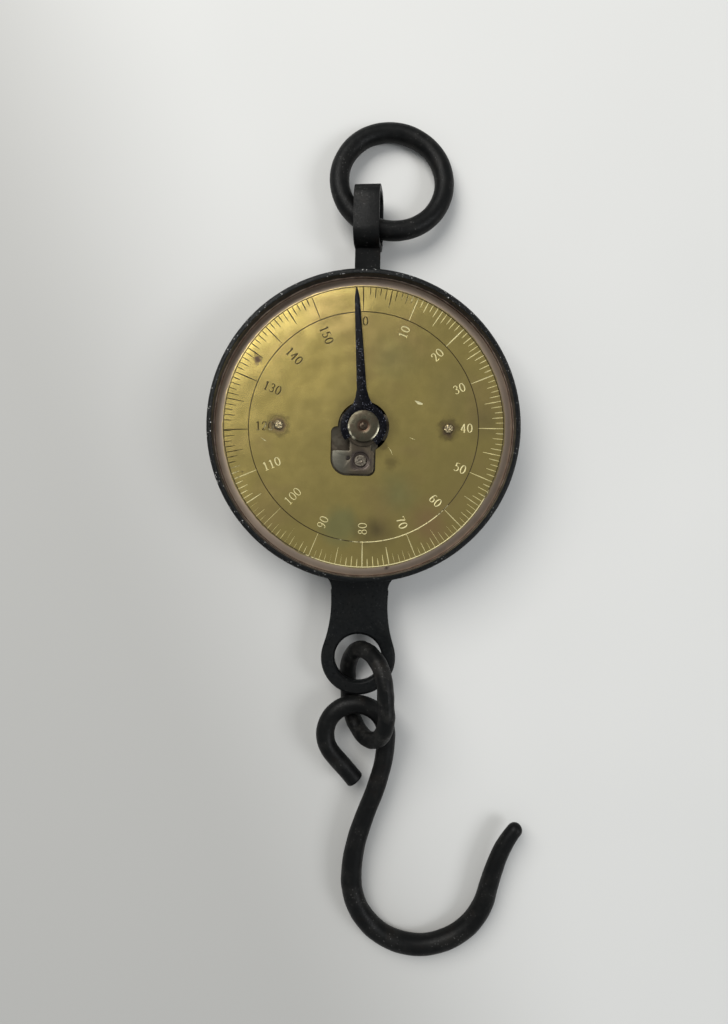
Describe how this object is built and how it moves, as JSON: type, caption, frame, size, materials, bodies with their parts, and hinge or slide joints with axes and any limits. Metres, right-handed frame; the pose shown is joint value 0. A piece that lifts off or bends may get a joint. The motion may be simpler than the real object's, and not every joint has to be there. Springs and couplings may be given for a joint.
{
  "type": "hanging dial spring balance",
  "caption": "Round iron-cased hanging spring balance with a brass dial, a rack-driven pointer, a suspension ring, a chain link and a load hook.",
  "frame": {"origin": "on the pointer's axis, at the flat back of the case", "axes": "+Z out of the dial, +Y towards the suspension ring, +X to the right of the dial"},
  "size_m": [0.1772, 0.4698, 0.0415],
  "materials": {
    "japanned_case": "black japanned iron, pitted and worn at the rim",
    "dial_brass": "aged brass with engraved scale",
    "worn_brass_screws": "worn domed heads",
    "dull_brass": "dull brown brass",
    "inner_brass": "clean brass",
    "plain_steel": "plain steel",
    "dark_steel": "dark steel",
    "cock_screw_steel": "worn slotted head",
    "spring_steel": "oiled spring steel",
    "black_iron": "black iron bar",
    "forged_iron": "blackened forged iron",
    "link_iron": "blackened forged iron, rubbed on the high side",
    "hook_iron": "blackened forged iron, faint hammer marks",
    "pointer_black": "blued black steel, pitted"
  },
  "bodies": {
    "case": {"case": "japanned_case", "dial_plate": "dial_brass", "dial_screws": "worn_brass_screws", "dial_pillars": "plain_steel", "bridge": "plain_steel", "cock": "dull_brass", "cock_screw": "cock_screw_steel", "cock_pin": "dark_steel", "rear_bush": "inner_brass", "anchor_bar": "black_iron", "anchor_screws": "plain_steel", "spring_left": "spring_steel", "spring_right": "spring_steel"},
    "strap": {"strap": "forged_iron", "crosshead": "black_iron", "crosshead_rivets": "plain_steel", "rack": "inner_brass", "rack_pin": "plain_steel", "rack_spring": "spring_steel", "stop_pin": "plain_steel"},
    "pointer": {"arbor": "plain_steel", "pinion": "inner_brass", "pointer_hub": "dull_brass", "pointer_hand": "pointer_black"},
    "ring": {"suspension_ring": "forged_iron"},
    "link": {"link": "link_iron"},
    "hook": {"hook": "hook_iron"}
  },
  "joints": [
    {"name": "strap_slide", "type": "slide", "parent": "case", "child": "strap", "axis": [0, 1, 0], "range_m": [0, 0.0333], "stiffness_N_per_m": 20200, "deforming": ["spring_left", "spring_right"]},
    {"name": "pointer_turn", "type": "hinge", "parent": "case", "child": "pointer", "pos_m": [0, 0, 0.03], "axis": [0, 0, 1], "range_deg": [-341, 0]},
    {"name": "ring_swing", "type": "hinge", "parent": "strap", "child": "ring", "pos_m": [0, 0.1136, 0.0145], "axis": [0.9011, -0.4337, 0], "range_deg": [-80, 110]},
    {"name": "link_swing", "type": "hinge", "parent": "case", "child": "link", "pos_m": [0, -0.126, 0.0145], "axis": [0, 0, 1], "range_deg": [-45, 45]},
    {"name": "hook_swing", "type": "hinge", "parent": "link", "child": "hook", "pos_m": [-0.0003, -0.1689, 0.01439], "axis": [0, -0.0696, 0.9976], "range_deg": [-45, 45]}
  ],
  "couplings": [
    {"joint": "pointer_turn", "follows": "strap_slide", "rad_per_m": -178.57}
  ]
}
